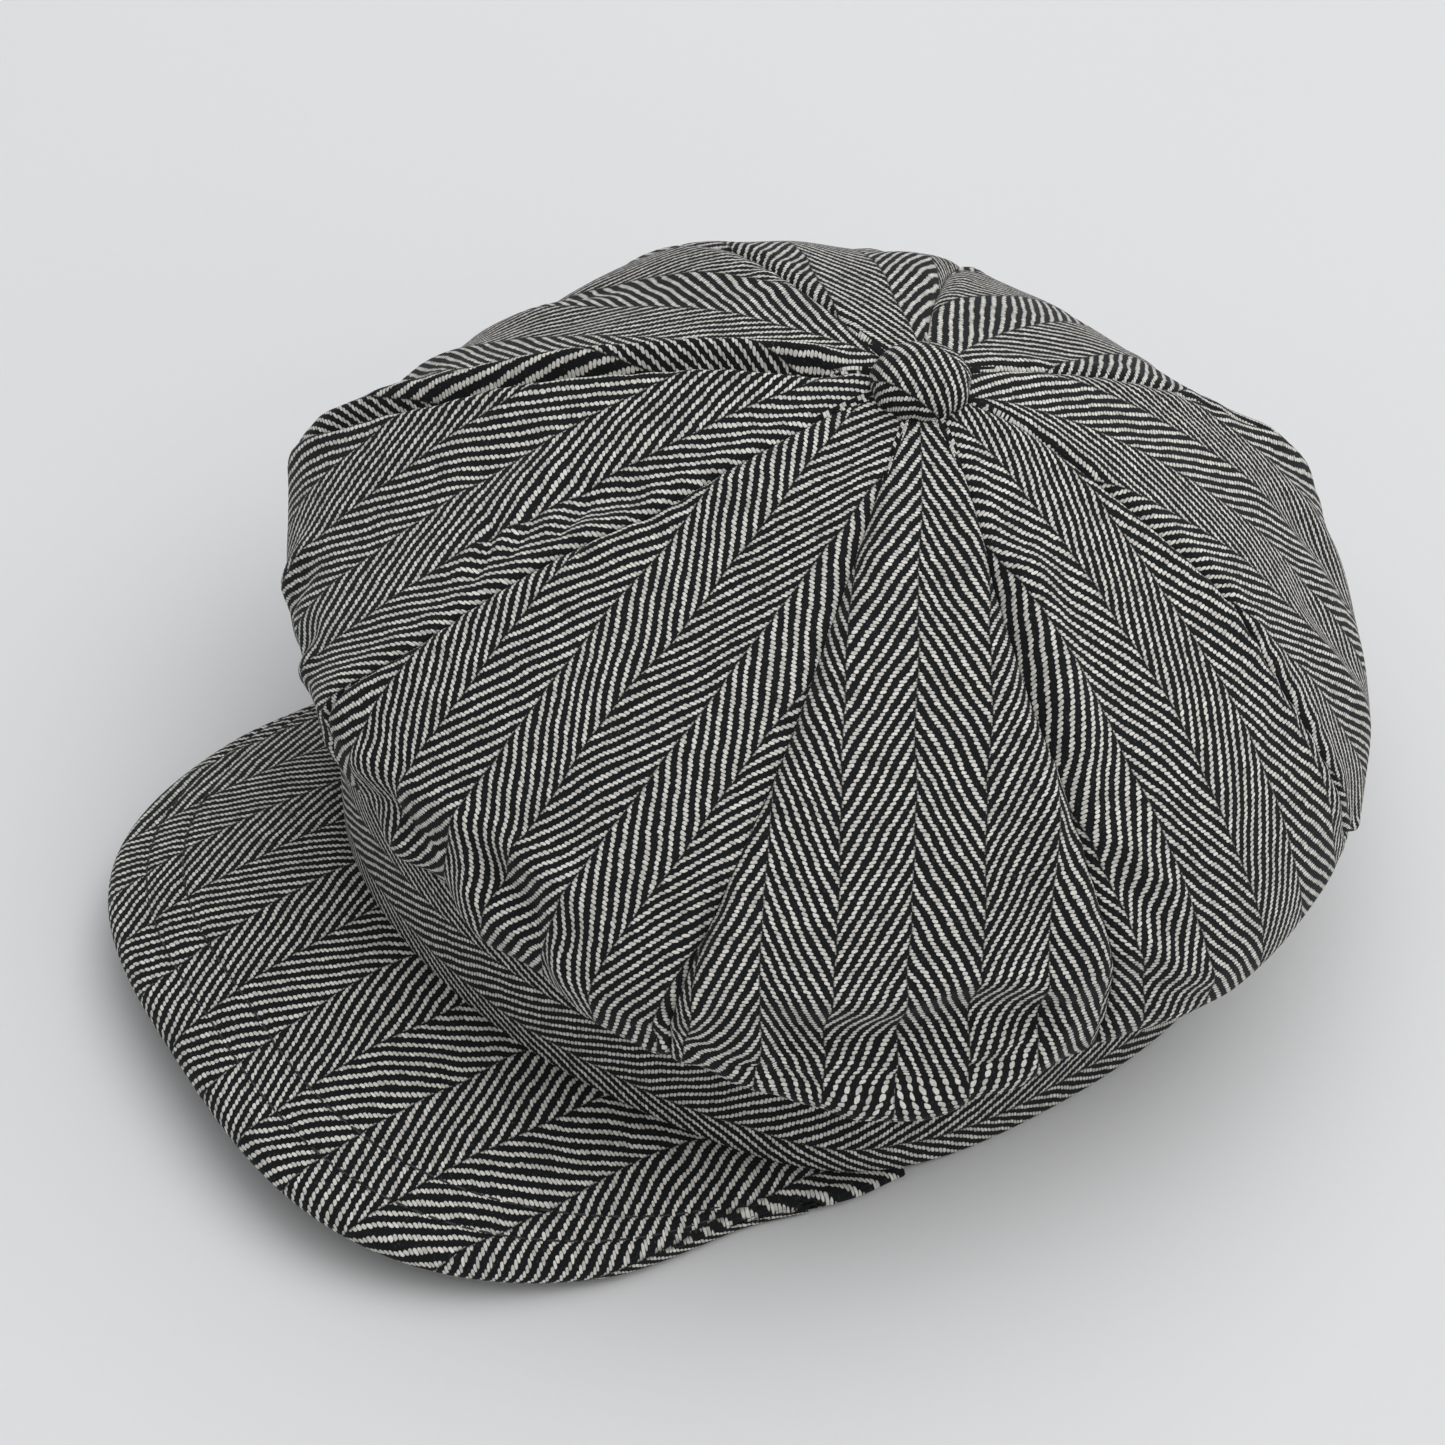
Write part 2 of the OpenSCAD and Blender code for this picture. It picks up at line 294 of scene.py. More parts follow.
# Where seams meet the rim the cloth is pinched in.
for k, deep in ((0, -1.0), (1, -2.6), (2, -3.0), (3, -1.5), (4, -1.5), (5, -1.5), (6, -1.5)):
    add_fold([(k, 0, .84), (k, 0, 1.0), (k, 0, 1.34)], 9.0 if deep < -2 else 7.5, deep, 1, 0, 1, 0, (.45, .3))
# At the right front seam it stands out as a corner instead.
add_fold([(7, 0, .74), (7, 0, .9), (7, 0, 1.06)], 9.0, 2.6, 1, 0, 1, 0, (.5, .35))
add_fold([(7, .55, .93), (7, .75, .97), (7, .95, 1.0)], 9.0, -1.3, 1, 0, 1, 0, (.4, .3))
# The left front gore breaks along its rim, and hangs over the band below that in two soft rolls.
add_fold([(1, .12, .87), (1, .20, .82), (1, .34, .83), (1, .49, .845), (1, .62, .80), (1, .83, .84), (1, .93, .91)],
         3.0, 1.9, -1, 8.6, 6.4, -4.8, (.2, .12))
add_fold([(1, .30, 1.10), (1, .45, 1.14), (1, .6, 1.07), (1, .78, 1.0), (1, .88, .99)], 1.5, -1.8, -1, 4.2, 3.2, 2.2, (.25, .25))
add_fold([(1, .12, 1.02), (1, .25, 1.14), (1, .4, 1.24)], 1.5, -1.4, -1, 4.4, 3.4, 1.6, (.3, .3))
add_fold([(1, .25, 1.32), (1, .52, 1.42), (1, .8, 1.30)], 7.0, 4.0, 1, 0, 1, 0, (.35, .35))
# Pleats that run up from the band in the front left gore.
add_fold([(0, .36, .78), (0, .42, .9), (0, .52, 1.15)], 3.2, 1.7, 1, 6, 3.4, -1.5, (.4, .3))
add_fold([(0, .58, .78), (0, .68, .9), (0, .78, 1.1)], 3.4, 1.6, -1, 6, 3.6, -1.4, (.4, .3))
add_fold([(0, .12, .84), (0, .14, 1.0), (0, .2, 1.2)], 3.5, 1.4, 1, 6, 3.4, -1.2, (.4, .3))
add_fold([(7, .8, .86), (7, .78, 1.0), (7, .75, 1.2)], 3.5, 1.5, -1, 6, 3.4, -1.2, (.4, .3))
add_fold([(7, .4, .8), (7, .45, 1.0), (7, .46, 1.25)], 3.8, 1.7, 1, 7, 4, -1.4, (.4, .3))
add_fold([(0, .09, .93), (0, .22, .885), (0, .38, .83), (0, .50, .79), (0, .62, .79), (0, .72, .80), (0, .84, .84)],
         3.0, 1.5, -1, 8.2, 5.8, -3.6, (.12, .25))
# Puckers beside the left seam.
add_fold([(1, .97, .53), (1, .9, .62), (1, .84, .72)], 2.6, 1.2, 1, 4.5, 2.6, -1.1, (.3, .4))
add_fold([(2, .05, .62), (2, .18, .72), (2, .3, .82)], 3.0, 1.4, -1, 5, 3, -1.2, (.3, .4))
add_fold([(2, .04, .8), (2, .2, .9), (2, .42, .98)], 3.2, 1.3, -1, 5.5, 3.2, -1.2, (.3, .4))
# Soft folds at the back and the far side.
add_fold([(4, 0, .58), (4, 0, .7), (4, 0, .82)], 5.0, 2.2, 1, 8, 5, -1.2, (.35, .35))
add_fold([(3, .25, .6), (3, .3, .8), (3, .35, 1.0)], 5.0, 1.5, 1, 9, 5, -1.3, (.4, .4))
add_fold([(3, .7, .55), (3, .66, .75), (3, .6, .95)], 5.0, -1.5, 1, 9, 5, 1.0, (.4, .4))
add_fold([(4, .5, .6), (4, .45, .8), (4, .5, 1.05)], 5.0, 1.6, 1, 9, 5, -1.2, (.4, .4))
add_fold([(5, .3, .5), (5, .35, .75), (5, .3, 1.0)], 5.5, 1.5, 1, 9, 5, -1.4, (.4, .4))
add_fold([(5, .75, .65), (5, .7, .85), (5, .72, 1.1)], 4.5, 1.4, -1, 8, 5, -1.3, (.4, .4))
add_fold([(6, .3, .45), (6, .38, .7), (6, .35, .95)], 5.0, -1.8, 1, 9, 6, 1.3, (.4, .4))
add_fold([(6, .7, .6), (6, .66, .8), (6, .7, 1.1)], 4.5, 1.5, 1, 8, 5, -1.4, (.4, .4))
add_fold([(5, 0, .25), (5, 0, .4), (5, 0, .6)], 3, -.8, 1, 8, 7, 1.5, (.3, .4))
add_fold([(6, 0, .3), (6, 0, .5), (6, 0, .7)], 3, -.6, 1, 8, 7, 1.0, (.3, .4))


# ------------------------------------------------------------------ the crown's gores
def arc_along(P, axis):
    d = np.linalg.norm(np.diff(P, axis=axis), axis=-1)
    z = np.zeros_like(np.take(d, [0], axis=axis))
    return np.concatenate([z, np.cumsum(d, axis=axis)], axis=axis)


def gore_surface(k, depth=0.0, sew=1.0):
    """Finished outer face of gore k, the seam frame, and its flat pattern (u across, v up)."""
    P, N = BASE[k], NORM[k].copy()
    across = arc_along(P, 1)
    width = across[:, -1:]
    dl, dr = across, width - across
    near = np.minimum(dl, dr)
    for d, sn in ((dl, SEAM_N[k]), (dr, SEAM_N[(k + 1) % 8])):
        m = np.exp(-(d / 5.0) ** 2)[..., None]
        N = N * (1 - m) + sn[:, None] * m
    N = unit(N)
    turn = TURN[k] * (1 - WW) + TURN[k + 1] * WW + TWIST
    h = relief(P, N, SS, turn)
    g = np.clip(width / 26, 0, 1)
    pinch = -1.3 * np.exp(-near / .75) + .42 * np.exp(-((near - 3.4) / 2.3) ** 2)
    lift = arc_along(P[:, len(W_COLS) // 2:len(W_COLS) // 2 + 1], 0)
    ripple = 0
    for d, j in ((dl, k), (dr, k + 1)):
        seed = j % 8
        a = .5 + .9 * (noise(np.stack([lift * 1.0, 0 * lift, 0 * lift + 50 * seed], -1), 18, 5))
        ripple = ripple + .26 * a * np.sin(lift / (1.15 + .12 * (seed % 3)) + 1.7 * seed) * np.exp(-(d / 6.5) ** 2)
    h = h + sew * g * (pinch + ripple * smooth(SS, .12, .3) * (1 - .85 * smooth(SS, .72, .92)))
    P1 = P + N * (h - depth)[..., None]
    # a little of the slack also shows in the flat pattern
    mid = len(W_COLS) // 2
    a0, a1 = arc_along(P, 1), arc_along(P1, 1)
    u = .5 * (a0 - a0[:, mid:mid + 1]) + .5 * (a1 - a1[:, mid:mid + 1])
    v = -np.broadcast_to(arc_along(P[:, mid:mid + 1], 0), u.shape).copy()
    return P1, N, u, v


def to_mesh(name, P, UV, ring=False, flip=False):
    """A smooth grid of quads from points P (rows, columns, 3) in mm and its flat pattern in mm."""
    P = P.copy()
    P[..., 2] = np.maximum(P[..., 2], 0)
    r, c = P.shape[:2]
    mesh = bpy.data.meshes.new(name)
    i, j = np.meshgrid(np.arange(r - 1), np.arange(c if ring else c - 1), indexing="ij")
    j2 = (j + 1) % c
    quads = np.stack([i * c + j, i * c + j2, (i + 1) * c + j2, (i + 1) * c + j], -1).reshape(-1, 4)
    if flip:
        quads = quads[:, ::-1]
    mesh.vertices.add(r * c)
    mesh.vertices.foreach_set("co", (P.reshape(-1, 3) * MM).astype(np.float32).ravel())
    mesh.loops.add(len(quads) * 4)
    mesh.loops.foreach_set("vertex_index", quads.astype(np.int32).ravel())
    mesh.polygons.add(len(quads))
    mesh.polygons.foreach_set("loop_start", (np.arange(len(quads)) * 4).astype(np.int32))
    mesh.polygons.foreach_set("use_smooth", np.ones(len(quads), bool))
    mesh.update(calc_edges=True)
    uv = mesh.uv_layers.new(name="weave")
    flat = UV.reshape(-1, 2)[quads.ravel()]
    if ring:  # the last column wraps round to the first
        last = (quads % c == 0) & ((quads // c) >= 0) & (np.repeat(j.reshape(-1, 1), 4, 1) == c - 1)
        span = UV[0, -1, 1] + (UV[0, 1, 1] - UV[0, 0, 1])
        flat = flat.reshape(-1, 4, 2)
        flat[..., 1] = np.where(last, span, flat[..., 1])
        flat = flat.reshape(-1, 2)
    uv.data.foreach_set("uv", (flat * .01).astype(np.float32).ravel())
    mesh.validate()
    o = bpy.data.objects.new(name, mesh)
    bpy.context.scene.collection.objects.link(o)
    return o


def thicken(o, mm, inward=True, clamp=0.0):
    m = o.modifiers.new("thickness", "SOLIDIFY")
    m.thickness = mm * MM
    m.offset = -1 if inward else 1
    m.use_even_offset = False
    m.use_rim = True
    m.thickness_clamp = clamp
    return o


def flat_size(u, v):
    """(width, length, area) of a flat pattern in metres."""
    wide = u.max(1) - u.min(1)
    d = np.abs(np.diff(v[:, v.shape[1] // 2]))
    area = float((d * (wide[1:] + wide[:-1]) / 2).sum())
    return float(wide.max()) * MM, float(abs(v[-1, 0] - v[0, 0])) * MM, area * MM * MM


def declare(u, v):
    w, l, a = flat_size(u, v)
    a = min(a, w * l)


# Where the herringbone's columns lie in each gore: sideways offset, turn in degrees, and stretch.
PATTERN = [(19.0, 2.8, 1.0), (0, 0, 1.0), (15.5, 0, .92), (3, 0, 1), (0, 0, 1), (4, 0, 1), (2, 0, 1), (20.0, 14.0, .90)]


def laid(k, u, v):
    off, a, size = PATTERN[k]
    c, d = size * math.cos(a * D), size * math.sin(a * D)
    return np.stack([c * u + d * v + off, c * v - d * u], -1)


crown, linings = [], []
for k, label in enumerate(GORES):
    P, N, u, v = gore_surface(k)
    T = unit(np.gradient(P, axis=1))
    gap = np.minimum(.10, np.ptp(u, axis=1) * .02)[:, None]
    P[:, 0] += T[:, 0] * gap
    P[:, -1] -= T[:, -1] * gap
    depth = np.clip(np.ptp(u, axis=1) / 26, .12, 1)[:, None]
    # the seam allowance turns in beside the seam
    left = [P[:, 0] - N[:, 0] * q * depth + T[:, 0] * e * depth for q, e in ((2.5, .55), (1.7, .18), (.8, 0))]
    right = [P[:, -1] - N[:, -1] * q * depth - T[:, -1] * e * depth for q, e in ((.8, 0), (1.7, .18), (2.5, .55))]
    P = np.concatenate([np.stack(left, 1), P, np.stack(right, 1)], 1)
    pad = np.array([2.5, 1.7, .8])
    u2 = np.concatenate([u[:, :1] - pad, u, u[:, -1:] + pad[::-1]], 1)
    v2 = np.concatenate([v[:, :3], v, v[:, :3]], 1)
    # and so does the lower edge above the band
    inward = np.zeros_like(P[-1])
    inward[:, :2] = -unit(P[-1][:, :2])
    rows = [P[-1] + inward * .9 + np.array([0, 0, -.05]), P[-1] + inward * 2.0 + np.array([0, 0, .25])]
    P = np.concatenate([P, np.stack(rows)], 0)
    u2 = np.concatenate([u2, u2[-1:], u2[-1:]], 0)
    v2 = np.concatenate([v2, v2[-1:] - .9, v2[-1:] - 2.0], 0)
    o = to_mesh("crown_" + label, P, laid(k, u2, v2), flip=True)
    thicken(o, 1.0)
    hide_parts("gore_" + label)
    declare(u2, v2)
    crown.append(o)

    # lining: looser, and wrinkled on its own
    Q, N, u, v = gore_surface(k, depth=4.6, sew=0.0)
    rub = .5 * noise(BASE[k], 9, 20 + k) + .35 * noise(BASE[k] * np.array([1, 1, .35]), 5, 30 + k)
    near = np.minimum(arc_along(BASE[k], 1), arc_along(BASE[k], 1)[:, -1:] - arc_along(BASE[k], 1))
    rub = rub - .45 * np.exp(-(near / 1.3) ** 2)
    Q = Q - N * (np.maximum(rub, -.3) * np.clip(np.ptp(u, axis=1) / 26, 0, 1)[:, None])[..., None]
    Q = Q[:-2:2]
    T = unit(np.gradient(Q, axis=1))
    Q[:, 0] += T[:, 0] * .1
    Q[:, -1] -= T[:, -1] * .1
    lo = to_mesh("crown_lining_" + label, Q, np.stack([u[:-2:2], v[:-2:2]], -1), flip=True)
    thicken(lo, .5)
    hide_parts("lining_" + label)
    linings.append((lo, u[:-2:2], v[:-2:2]))
for (lo, u, v), o in zip(linings, crown):
    declare(u, v)


# ------------------------------------------------------------------ the head band
def bulge(P, peak=False):
    """The band's lower edge isn't a true oval: it stands out a little near the ends of the peak."""
    t = np.degrees(np.arctan2(P[..., 0] / BX, -P[..., 1] / BY))
    out = 4.2 * np.exp(-((t - 66) / 17) ** 2) + 1.8 * np.exp(-((t + 66) / 17) ** 2)
    out = out * (1 - smooth(P[..., 2], 6, 28))
    if peak:
        out = out * (1 - smooth((np.hypot(P[..., 0] / BX, P[..., 1] / BY) - 1) * 94, 2, 16))
    P = P.copy()
    P[..., :2] += unit(P[..., :2]) * out[..., None]
    return P


def band_grid(profile, n=360, wave=0.0, seed=0, start=180.0):
    """A strip round the head; profile is [(inset, height above the band's edge), ...]."""
    t = start + np.arange(n) * 360.0 / n
    rows, u = [], [0.0]
    for i, (inset, up) in enumerate(profile):
        xy = band_at(t, inset)
        rows.append(np.concatenate([xy, (band_low(t) + up)[:, None]], -1))
        if i:
            u.append(u[-1] + math.hypot(profile[i][0] - profile[i - 1][0], profile[i][1] - profile[i - 1][1]))
    P = np.stack(rows)
    out = np.zeros_like(P)
    out[..., :2] = unit(P[..., :2])
    if wave:
        h = np.array([p[1] for p in profile])
        env = np.clip(np.minimum(h - 1.0, BH - .5 - h) / 4, 0, 1)[:, None]
        P = P + out * (wave * (noise(P, 24, seed) + .4 * noise(P, 9, seed + 1)) * env)[..., None]
    P = bulge(P)
    run = np.linalg.norm(np.diff(np.concatenate([P[len(P) // 2], P[len(P) // 2][:1]]), axis=0), axis=1)
    v = np.concatenate([[0], np.cumsum(run)])[:-1]
    U, V = np.meshgrid(u, v, indexing="ij")
    return P, U, V


def arc_points(cx, cy, r, a0, a1, n):
    a = np.linspace(a0, a1, n) * D
    return [(cx - r * math.cos(x), cy + r * math.sin(x)) for x in a]


outer = [(2.0, BH - .15), (.9, BH - .05), (.35, BH - .3), (.08, BH - .9)]
outer += [(0, x) for x in np.linspace(BH - 2, 1.2, 24)]
outer += arc_points(1.1, 1.1, 1.1, -25, -180, 8) + [(2.2, 2.2), (2.2, 3.4)]
P, U, V = band_grid(outer, wave=.35, seed=40)
band = to_mesh("band_weave", P, np.stack([U + 1.5, -V], -1), ring=True, flip=True)
thicken(band, 1.0)
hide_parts("band_cloth")

stiff = [(1.35, BH - 2.5)] + [(1.35, x) for x in np.linspace(BH - 4, 6, 10)] + [(1.35, 4.6)]
P2, U2, V2 = band_grid(stiff)
facing = to_mesh("band_stiffener", P2, np.stack([U2, -V2], -1), ring=True, flip=True)
thicken(facing, .55)
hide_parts("band_interfacing")

inner = [(2.62, BH - 2.0), (2.62, BH - 3)] + [(2.62, x) for x in np.linspace(BH - 4, 3, 16)]
inner += [(2.66, 1.9), (2.8, 1.4), (3.1, 1.2), (3.4, 1.4), (3.55, 1.9), (3.6, 2.8), (3.6, 5.0)]
P3, U3, V3 = band_grid(inner, wave=.0, seed=44)
sweat = to_mesh("sweatband_strip", P3, np.stack([U3, -V3], -1), ring=True, flip=True)
thicken(sweat, .45)
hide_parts("sweatband")
declare(U.T, V.T)
declare(U2.T, V2.T)
declare(U3.T, V3.T)

# ------------------------------------------------------------------ the peak
ROOT, GAP, THICK, SQUARE, HALF, LONG, LIFT, CAMBER, END = 72.0, 2.6, 4.0, 3.0, 85.0, 46.0, 13.0, 2.0, 0.93


def peak_edge(u):
    a = 90 * u * END * D
    base = -BY * math.cos(ROOT * D) + 6
    tip = -BY - LONG

    def lobe(x):
        return np.sign(x) * np.abs(x) ** (2 / SQUARE)

    return np.stack([HALF * lobe(np.sin(a)) + np.sign(u) * (1.2 * np.abs(u) ** 8 - 4.0 * smooth(np.abs(u), .74, .97)), base + (tip - base) * lobe(np.cos(a))], -1)


def peak_root_z(u):
    return np.maximum(band_low(ROOT * u), THICK)


def peak_edge_z(u):
    return THICK + LIFT * np.cos(90 * u * D) ** 2


def peak_top(u, v):
    a, b = band_at(ROOT * u, -GAP), peak_edge(u)
    p = a * (1 - v)[..., None] + b * v[..., None]
    z = peak_root_z(u) * (1 - v) + peak_edge_z(u) * v + CAMBER * 4 * v * (1 - v) * np.cos(80 * u * D)
    return np.concatenate([p, z[..., None]], -1)


def even_u(n):
    """Values of u whose points are evenly spaced along the outline."""
    d = np.linspace(-1, 1, 4001)
    e = peak_edge(d)
    run = np.concatenate([[0], np.cumsum(np.linalg.norm(np.diff(e, axis=0), axis=1))])
    return np.interp(np.linspace(0, run[-1], n), run, d)


PU = even_u(221)
PU = np.concatenate([[-1, -.9990, -.9975, -.9955, -.9930], PU[(PU > -.992) & (PU < .992)], [.9930, .9955, .9975, .9990, 1]])
PW = np.linalg.norm(peak_edge(PU) - band_at(ROOT * PU, -GAP), axis=-1)
END_A, END_B = band_at(np.array([ROOT]), -GAP)[0], peak_edge(np.array([1.0]))[0]
EDGE_R = 2.0


def from_end(p):
    """Distance of points from the straight ends of the outline, on either side."""
    q = np.stack([np.abs(p[..., 0]), p[..., 1]], -1) - END_A
    d = unit(END_B - END_A)
    t = np.clip(q @ d, 0, np.linalg.norm(END_B - END_A))
    return np.linalg.norm(q - t[..., None] * d, axis=-1)


def from_edge(p):
    """Distance of points from the curved outline: near its ends the rows run almost along it."""
    line = peak_edge(even_u(1201))
    flat = p.reshape(-1, 2)
    d = np.concatenate([np.sqrt(((a[:, None] - line[None]) ** 2).sum(-1).min(1)) for a in np.array_split(flat, 24)])
    return np.maximum(d - .03, 0).reshape(p.shape[:-1])


def settle(P):
    """Draws the ends of the peak in and thins them where they meet the band."""
    P = P.copy()
    near = smooth(P[..., 1], -54, -33)
    P[..., 2] *= 1 - near * .56
    P[..., 0] -= np.sign(P[..., 0]) * near ** 2 * 2.2
    return bulge(P, True)


def peak_layer(under):
    """Rows from under the band, over the face, round the edge and a little way back inside."""
    face = -1.0 if under else 1.0
    low = band_low(ROOT * PU)
    tuck = smooth(low - peak_root_z(PU) + .6, 0, .5)  # 1 where the root passes below the band
    rows, me, raise_ = [], [], []
    for q in (1.0, .8, .6, .4, .2):
        inset = -GAP + (GAP - .25) * q + tuck * 2.6 * q
        p = band_at(ROOT * PU, inset)
        rows.append(np.concatenate([p, (peak_root_z(PU) - .3 * q)[:, None]], -1))
        me.append(np.full(len(PU), 9.0))
        raise_.append(2.2 * float(smooth(q, .5, 1.0)) if under else 0.0)
    for x in np.linspace(1, 0, 44)[:-1]:
        inset = EDGE_R + .05 + (PW - EDGE_R - .05) * x
        rows.append(peak_top(PU, 1 - inset / PW))
        me.append(inset)
        raise_.append(0.0)
    for a in (0, 18, 36, 54, 72, 90):
        inset = np.full(len(PU), EDGE_R - EDGE_R * math.sin(a * D))
        rows.append(peak_top(PU, 1 - inset / PW))
        me.append(inset)
        raise_.append(0.0)
    for a, inset in ((110, .7), (130, 1.9)):
        if not under:
            inset = EDGE_R - EDGE_R * math.sin(a * D)
        rows.append(peak_top(PU, 1 - inset / PW))
        me.append(np.full(len(PU), 0.0))
        raise_.append(0.0)
    P = np.stack(rows)
    me = np.stack(me)
    me[:-2] = np.minimum(me[:-2], from_edge(P[:-2, :, :2]))
    q = np.clip(EDGE_R - me, 0, EDGE_R)
    p = np.clip(EDGE_R - from_end(P[..., :2]), 0, EDGE_R)
    r = np.minimum(np.hypot(q, p), EDGE_R)
    drop = EDGE_R - np.sqrt(np.maximum(EDGE_R ** 2 - r ** 2, 0))
    if under:
        drop[-2:] += .05
    else:  # the top cloth turns on under the edge and covers the under cloth's
        drop[-2:] = EDGE_R * (1 - np.cos(np.array([[110.0], [130.0]]) * D))
    lift = np.array(raise_)[:, None]
    P[..., 2] += np.where(under, -THICK + drop + np.minimum(lift, EDGE_R - drop), -drop)
    N = np.zeros_like(P)
    N[..., 2] = face
    row = np.arange(len(P))
    env = smooth(row, 4, 12)[:, None] * (1 - smooth(row, 44, 47))[:, None]
    P = P + N * (.22 * noise(P, 22, 50 + under) * env)[..., None]
    dist = np.linalg.norm(P[..., :2] - peak_edge(PU)[None], axis=-1)
    on_face = smooth(row, 6, 10)[:, None] * (row < 48)[:, None]
    for d0 in (7.5, 15.0):
        groove = -.28 * np.exp(-((dist - d0) / .9) ** 2) + .10 * np.exp(-((np.abs(dist - d0) - 2.4) / 1.6) ** 2)
        ok = (smooth(PW, 17, 24) if d0 > 10 else smooth(PW, 10, 16)) * (1 - smooth(np.abs(PU), .86, .93))
        P = P + N * (groove * on_face * ok[None])[..., None]
    P = settle(P)
    flat = P[..., :2].copy()
    t = np.gradient(peak_edge(PU), axis=0)
    out = unit(np.stack([t[:, 1], -t[:, 0]], -1))
    turn = np.array([0, 18, 36, 54, 72, 90, 110, 130]) * D
    flat[48:] += out[None] * (EDGE_R * (turn - np.sin(turn)))[:, None, None]
    return P, flat


P, F = peak_layer(False)
F0 = F.copy()
peak_over = to_mesh("peak_top_weave", P, np.stack([F[..., 0] + 16.8, F[..., 1]], -1), flip=False)
thicken(peak_over, .85)
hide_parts("peak_top_cloth")
P, F = peak_layer(True)
peak_below = to_mesh("peak_under_weave", P, np.stack([F[..., 0] + 16.8, F[..., 1]], -1), flip=False)
thicken(peak_below, .85)
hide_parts("peak_under_cloth")


def polygon_area(a):
    x, y = a[:, 0], a[:, 1]
    return abs(float((x * np.roll(y, -1) - y * np.roll(x, -1)).sum())) / 2


def declare_peak(F):
    ring = np.concatenate([F[0], F[1:, -1], F[-1, ::-1][1:], F[::-1][1:-1, 0]])
    w, l = float(np.ptp(F[..., 0])) * MM, float(np.ptp(F[..., 1])) * MM
    a = min(polygon_area(ring) * MM * MM, w * l)


# the stiff board between them
U4 = even_u(121)
W4 = np.linalg.norm(peak_edge(U4) - band_at(ROOT * U4, -GAP), axis=-1)
rows = []
for x in np.linspace(1, 0, 22):
    inset = 3.2 + (W4 - 3.2 - .4) * x
    p = peak_top(U4, 1 - inset / W4)
    p[:, 2] -= 1.0
    rows.append(p)
P = np.stack(rows)
P = settle(P[:, 12:-12])
board = to_mesh("peak_stiff_board", P, P[..., :2].copy(), flip=True)
thicken(board, 1.3)
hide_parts("peak_board")


def stitch_mesh(name, lines, length=2.6, pause=.75, r=.26, sink=.05):
    """Short thread stitches, each a small rounded bar, along lines of points with normals."""
    verts, faces = [], []
    ring = 6
    for pts, nrm in lines:
        run = np.concatenate([[0], np.cumsum(np.linalg.norm(np.diff(pts, axis=0), axis=1))])
        n = int(run[-1] / (length + pause))
        for i in range(n):
            a = i * (length + pause) + pause / 2
            stations = []
            for f, rr, dn in ((0, .25, .42), (.08, .8, .12), (.3, 1.0, 0), (.7, 1.0, 0), (.92, .8, .12), (1, .25, .42)):
                s = a + f * length
                c = np.array([np.interp(s, run, pts[:, j]) for j in range(3)])
                m = unit(np.array([np.interp(s, run, nrm[:, j]) for j in range(3)]))
                stations.append((c + m * (r * .55 - sink - dn * .6), rr * r, m))
            d = unit(stations[-1][0] - stations[0][0])
            base = len(verts)
            for c, rr, m in stations:
                side = unit(np.cross(d, m))
                for q in range(ring):
                    g = 2 * math.pi * q / ring
                    verts.append(c + (side * math.cos(g) + m * math.sin(g) * .8) * rr)
            for st in range(len(stations) - 1):
                for q in range(ring):
                    q2 = (q + 1) % ring
                    faces.append((base + st * ring + q, base + st * ring + q2,
                                  base + (st + 1) * ring + q2, base + (st + 1) * ring + q))
            faces.append(tuple(base + q for q in range(ring))[::-1])
            faces.append(tuple(base + (len(stations) - 1) * ring + q for q in range(ring)))
    mesh = bpy.data.meshes.new(name)
    mesh.from_pydata([tuple(v * MM) for v in np.array(verts)], [], faces)
    mesh.polygons.foreach_set("use_smooth", np.ones(len(mesh.polygons), bool))
    mesh.update()
    o = bpy.data.objects.new(name, mesh)
    bpy.context.scene.collection.objects.link(o)
    return o


def peak_row(inset, lo, hi, under=False):
    u = np.linspace(lo, hi, 300)
    w = np.linalg.norm(peak_edge(u) - band_at(ROOT * u, -GAP), axis=-1)
    p = peak_top(u, 1 - inset / w)
    if under:
        p[:, 2] -= THICK
    nr = np.zeros_like(p)
    nr[:, 2] = -1 if under else 1
    return settle(p + nr * (-.2 if under else .72)), nr


stitches = stitch_mesh("peak_stitch_rows", [peak_row(7.5, -.88, .88), peak_row(15, -.84, .84),
                                            peak_row(7.5, -.88, .88, True), peak_row(15, -.84, .84, True)])
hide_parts("peak_stitching")
declare_peak(F0)
declare_peak(F)

# ------------------------------------------------------------------ the covered button
BR, BHGT = 9.75, 7.0
ang = np.arange(120) * 3.0
prof = [(.06, 1.0)] + [(math.sin(a * D), max(math.cos(a * D), 0) ** .8) for a in np.linspace(6, 88, 20)]
prof += [(1.0, -.04), (.97, -.12), (.90, -.16), (.80, -.14)]
rows = []
for r, h in prof:
    x, y = r * BR * np.cos(ang * D), r * BR * np.sin(ang * D)
    rows.append(np.stack([x, y, np.full_like(x, h * BHGT)], -1))
P = np.stack(rows)
rr = np.hypot(P[..., 0], P[..., 1]) / BR
crease = np.sin(ang * D * 11 + 2.0 * np.sin(ang * D * 2 + 1) + .8)[None]
row = np.arange(len(P))[:, None] / len(P)
P[..., :2] *= (1 + (.030 * crease * smooth(row, .45, .85) * (1 - .4 * smooth(row, .85, 1)))[..., None])
P[..., 2] += .35 * noise(P + 300, 6, 60) * (1 - smooth(rr, .8, 1)) - .3
phi = 64.8 * D
arc = arc_along(P, 0) + .06 * BR
bu = arc * np.cos(ang[None] * D + phi)
bv = arc * np.sin(ang[None] * D + phi)
P = P + np.array([0, BACK, HIGH + .45])
button = to_mesh("button_weave", P, np.stack([bu + 19.3, bv], -1), ring=True, flip=False)
me = button.data
uvl = me.uv_layers["weave"].data
uvs = np.zeros(len(me.loops) * 2, np.float32)
vi = np.zeros(len(me.loops), np.int32)
me.loops.foreach_get("vertex_index", vi)
